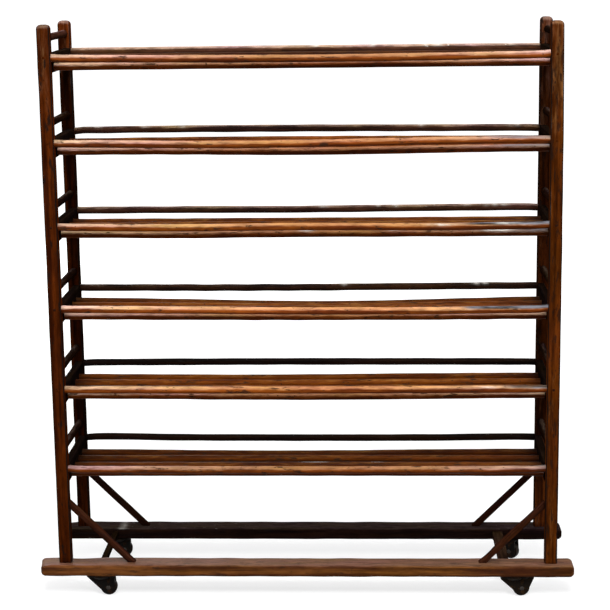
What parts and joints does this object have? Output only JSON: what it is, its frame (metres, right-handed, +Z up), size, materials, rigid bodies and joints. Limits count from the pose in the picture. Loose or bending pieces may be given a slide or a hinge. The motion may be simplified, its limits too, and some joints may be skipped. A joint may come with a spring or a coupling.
{
  "type": "cobbler shoe rack",
  "caption": "Rolling wooden shoe rack: dowel shelves with lips and end rungs between posts, on long base rails with diagonal braces and swivel casters.",
  "frame": {"origin": "on the floor, under the middle of the rack", "axes": "+Z up, +X along the shelves to the right as seen from the front, the front faces -Y"},
  "size_m": [1.632, 0.412, 1.743],
  "materials": {
    "post_wood": "dark brown stain, worn satin varnish",
    "lip_wood": "orange brown stain, rubbed pale on top",
    "guard_wood": "near black brown stain",
    "bed_wood": "orange brown stain with dark scuffs",
    "rail_wood": "mid brown stain, dusty worn top",
    "brace_wood": "near black brown stain",
    "cast_iron": "blackened iron with dull wear",
    "axle_steel": "darkened steel rivet"
  },
  "bodies": {
    "rack": {"front_left_post": "post_wood", "front_right_post": "post_wood", "rear_left_post": "post_wood", "rear_right_post": "post_wood", "front_base_rail": "rail_wood", "rear_base_rail": "rail_wood", "left_base_stretcher": "brace_wood", "right_base_stretcher": "brace_wood", "front_left_brace": "brace_wood", "front_right_brace": "brace_wood", "rear_left_brace": "brace_wood", "rear_right_brace": "brace_wood", "shelf_bed_1": "bed_wood", "front_lip_1": "lip_wood", "rear_lip_1": "lip_wood", "left_guard_rung_1": "guard_wood", "right_guard_rung_1": "guard_wood", "shelf_bed_2": "bed_wood", "front_lip_2": "lip_wood", "rear_lip_2": "lip_wood", "left_guard_rung_2": "guard_wood", "right_guard_rung_2": "guard_wood", "shelf_bed_3": "bed_wood", "front_lip_3": "lip_wood", "rear_lip_3": "lip_wood", "left_guard_rung_3": "guard_wood", "right_guard_rung_3": "guard_wood", "shelf_bed_4": "bed_wood", "front_lip_4": "lip_wood", "rear_lip_4": "lip_wood", "left_guard_rung_4": "guard_wood", "right_guard_rung_4": "guard_wood", "shelf_bed_5": "bed_wood", "front_lip_5": "lip_wood", "rear_lip_5": "lip_wood", "left_guard_rung_5": "guard_wood", "right_guard_rung_5": "guard_wood", "shelf_bed_6": "bed_wood", "front_lip_6": "lip_wood", "rear_lip_6": "lip_wood", "left_guard_rung_6": "guard_wood", "right_guard_rung_6": "guard_wood", "front_left_caster_plate": "cast_iron", "front_right_caster_plate": "cast_iron", "rear_left_caster_plate": "cast_iron", "rear_right_caster_plate": "cast_iron"},
    "front_left_swivel": {"front_left_caster_horn": "cast_iron", "front_left_caster_axle": "axle_steel"},
    "front_left_wheel": {"front_left_caster_wheel": "cast_iron"},
    "front_right_swivel": {"front_right_caster_horn": "cast_iron", "front_right_caster_axle": "axle_steel"},
    "front_right_wheel": {"front_right_caster_wheel": "cast_iron"},
    "rear_left_swivel": {"rear_left_caster_horn": "cast_iron", "rear_left_caster_axle": "axle_steel"},
    "rear_left_wheel": {"rear_left_caster_wheel": "cast_iron"},
    "rear_right_swivel": {"rear_right_caster_horn": "cast_iron", "rear_right_caster_axle": "axle_steel"},
    "rear_right_wheel": {"rear_right_caster_wheel": "cast_iron"}
  },
  "joints": [
    {"name": "front_left_caster_swivel", "type": "hinge", "parent": "rack", "child": "front_left_swivel", "pos_m": [-0.635, -0.168, 0.0645], "axis": [0, 0, 1], "continuous": true},
    {"name": "front_left_wheel_roll", "type": "hinge", "parent": "front_left_swivel", "child": "front_left_wheel", "pos_m": [-0.6125, -0.168, 0.026], "axis": [0, 1, 0], "continuous": true},
    {"name": "front_right_caster_swivel", "type": "hinge", "parent": "rack", "child": "front_right_swivel", "pos_m": [0.635, -0.168, 0.0645], "axis": [0, 0, 1], "continuous": true},
    {"name": "front_right_wheel_roll", "type": "hinge", "parent": "front_right_swivel", "child": "front_right_wheel", "pos_m": [0.65738, -0.16565, 0.026], "axis": [-0.1045, 0.9945, 0], "continuous": true},
    {"name": "rear_left_caster_swivel", "type": "hinge", "parent": "rack", "child": "rear_left_swivel", "pos_m": [-0.635, 0.168, 0.0645], "axis": [0, 0, 1], "continuous": true},
    {"name": "rear_left_wheel_roll", "type": "hinge", "parent": "rear_left_swivel", "child": "rear_left_wheel", "pos_m": [-0.61255, 0.16957, 0.026], "axis": [-0.0698, 0.9976, 0], "continuous": true},
    {"name": "rear_right_caster_swivel", "type": "hinge", "parent": "rack", "child": "rear_right_swivel", "pos_m": [0.635, 0.168, 0.0645], "axis": [0, 0, 1], "continuous": true},
    {"name": "rear_right_wheel_roll", "type": "hinge", "parent": "rear_right_swivel", "child": "rear_right_wheel", "pos_m": [0.65408, 0.15608, 0.026], "axis": [0.5299, 0.848, 0], "continuous": true}
  ]
}
